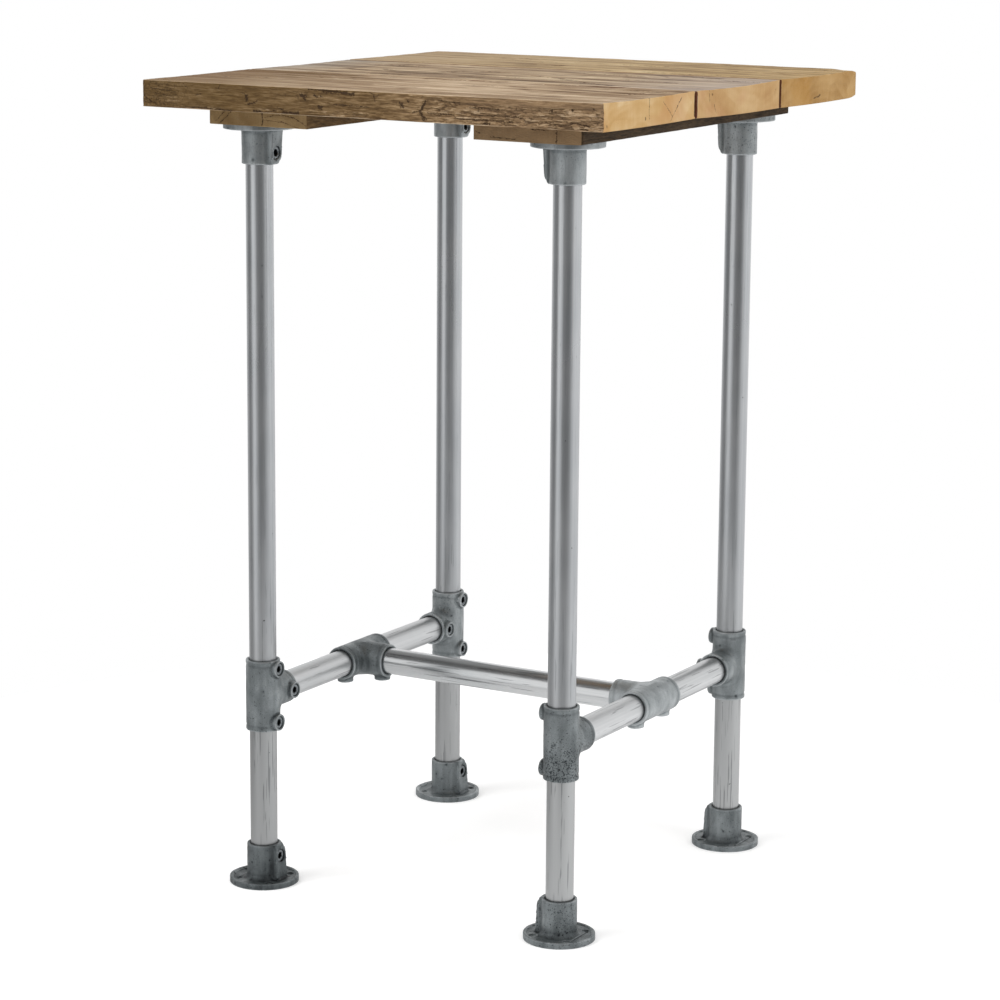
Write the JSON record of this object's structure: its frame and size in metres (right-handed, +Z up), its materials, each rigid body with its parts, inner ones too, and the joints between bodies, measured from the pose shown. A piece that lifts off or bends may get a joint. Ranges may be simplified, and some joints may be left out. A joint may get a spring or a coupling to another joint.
{
  "type": "poseur table",
  "caption": "High standing table: rough reclaimed boards on battens, on a frame of galvanised tubes joined with set-screw tees, with round floor flanges.",
  "frame": {"origin": "on the floor, straight below the middle of the table top", "axes": "+X along the boards, towards their freshly cut ends; +Y from the front board to the rear board; +Z up"},
  "size_m": [0.62, 0.674, 1.005],
  "materials": {
    "board_wood": "weathered, rough sawn, bare",
    "batten_wood": "weathered, rough sawn, bare",
    "tube_steel": "galvanised, satin",
    "fitting_iron": "hot-dip galvanised, matte",
    "set_screw_steel": "zinc plated, dull",
    "wood_screw_steel": "zinc plated"
  },
  "bodies": {
    "root": {"top_board_front": "board_wood", "top_board_middle": "board_wood", "top_board_rear": "board_wood", "batten_left": "batten_wood", "batten_right": "batten_wood", "lower_leg_front_left": "tube_steel", "lower_leg_front_right": "tube_steel", "lower_leg_rear_right": "tube_steel", "lower_leg_rear_left": "tube_steel", "upper_leg_front_left": "tube_steel", "upper_leg_front_right": "tube_steel", "upper_leg_rear_right": "tube_steel", "upper_leg_rear_left": "tube_steel", "side_rail_left_front": "tube_steel", "side_rail_left_rear": "tube_steel", "side_rail_right_front": "tube_steel", "side_rail_right_rear": "tube_steel", "cross_rail": "tube_steel", "leg_tee_front_left": "fitting_iron", "leg_tee_front_right": "fitting_iron", "leg_tee_rear_right": "fitting_iron", "leg_tee_rear_left": "fitting_iron", "rail_tee_left": "fitting_iron", "rail_tee_right": "fitting_iron", "foot_flange_front_left": "fitting_iron", "foot_flange_front_right": "fitting_iron", "foot_flange_rear_right": "fitting_iron", "foot_flange_rear_left": "fitting_iron", "top_flange_front_left": "fitting_iron", "top_flange_front_right": "fitting_iron", "top_flange_rear_right": "fitting_iron", "top_flange_rear_left": "fitting_iron", "leg_tee_set_screws": "set_screw_steel", "rail_tee_set_screws": "set_screw_steel", "foot_flange_set_screws": "set_screw_steel", "top_flange_set_screws": "set_screw_steel", "batten_wood_screws": "wood_screw_steel", "flange_wood_screws": "wood_screw_steel"}
  },
  "joints": []
}
